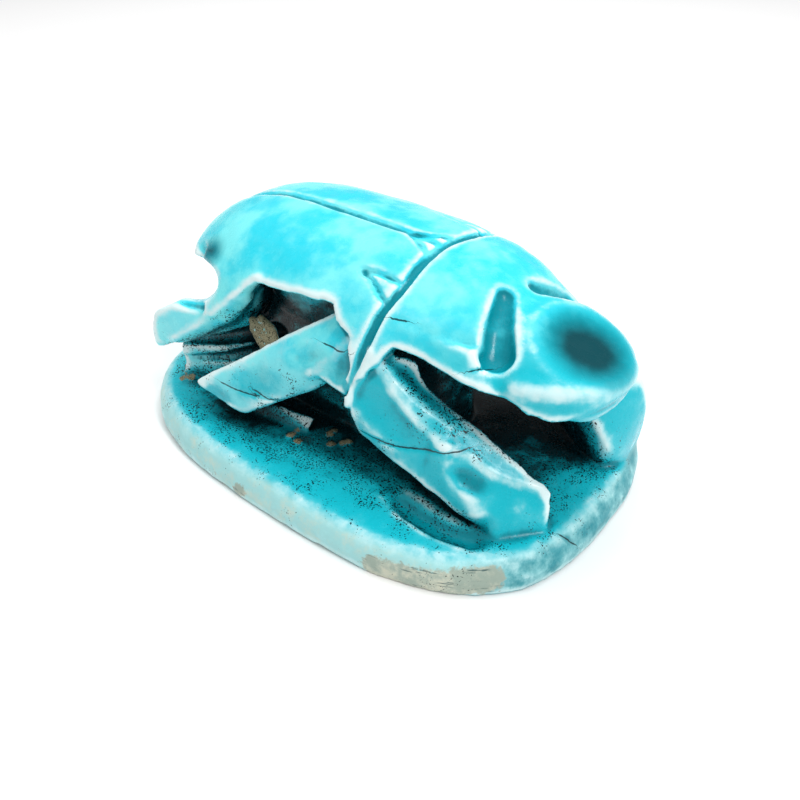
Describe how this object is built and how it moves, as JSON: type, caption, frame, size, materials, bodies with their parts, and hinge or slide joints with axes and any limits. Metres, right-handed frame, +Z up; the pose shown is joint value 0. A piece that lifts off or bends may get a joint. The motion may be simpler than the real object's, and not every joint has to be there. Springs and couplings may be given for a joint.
{
  "type": "scarab amulet",
  "caption": "Turquoise-glazed carved stone scarab: domed beetle with seamed wing cases, bowl-topped head and undercut legs on a flat oval base.",
  "frame": {"origin": "middle of the flat underside", "axes": "+X towards the beetle's head, +Y towards its far side, +Z up through the wing cases"},
  "size_m": [0.05, 0.0352, 0.0222],
  "materials": {
    "glaze": "glossy turquoise glaze over carved steatite, white where it thins on the edges"
  },
  "bodies": {
    "root": {"scarab": "glaze"}
  },
  "joints": []
}
